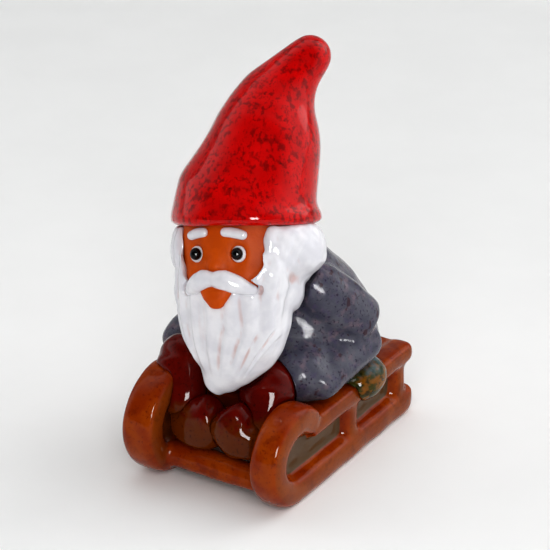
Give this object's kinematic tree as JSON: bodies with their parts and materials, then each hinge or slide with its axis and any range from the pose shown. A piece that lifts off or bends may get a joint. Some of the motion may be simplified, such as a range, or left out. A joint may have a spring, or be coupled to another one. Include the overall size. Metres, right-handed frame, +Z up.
{
  "type": "tomte gnome figurine",
  "caption": "Glazed red-clay tomte in a tall bent red hat, riding a small brown sledge with curled runners; a hand-painted Nordic figurine.",
  "frame": {"origin": "on the table, under the middle of the figurine's outline", "axes": "+Z up; the tomte and the sledge face -Y; +X is the tomte's left"},
  "size_m": [0.0858, 0.1184, 0.1784],
  "materials": {
    "red_glaze": "glossy",
    "bare_clay": "matte",
    "white_glaze": "glossy",
    "black_glaze": "glossy",
    "slate_blue_glaze": "glossy",
    "olive_glaze": "glossy",
    "dark_brown_glaze": "glossy",
    "chestnut_glaze": "glossy"
  },
  "bodies": {
    "root": {"left_runner": "chestnut_glaze", "left_deck_rail": "chestnut_glaze", "left_side_panel": "chestnut_glaze", "left_middle_post": "chestnut_glaze", "left_rear_post": "chestnut_glaze", "right_runner": "chestnut_glaze", "right_deck_rail": "chestnut_glaze", "right_side_panel": "chestnut_glaze", "right_middle_post": "chestnut_glaze", "right_rear_post": "chestnut_glaze", "deck_board": "chestnut_glaze", "front_crossbar": "chestnut_glaze", "rear_crossbar": "chestnut_glaze", "left_eye_pupil": "black_glaze", "left_eye_white": "white_glaze", "right_eye_pupil": "black_glaze", "right_eye_white": "white_glaze", "face": "bare_clay", "hat": "red_glaze", "left_eyebrow": "white_glaze", "right_eyebrow": "white_glaze", "nose": "bare_clay", "moustache": "white_glaze", "lower_lip": "bare_clay", "left_hair_lock": "white_glaze", "right_hair_lock": "white_glaze", "beard": "white_glaze", "back_hair": "white_glaze", "left_boot": "dark_brown_glaze", "left_trouser_leg": "dark_brown_glaze", "left_sleeve": "slate_blue_glaze", "right_boot": "dark_brown_glaze", "right_trouser_leg": "dark_brown_glaze", "right_sleeve": "slate_blue_glaze", "trouser_seat": "olive_glaze", "coat": "slate_blue_glaze"}
  },
  "joints": []
}
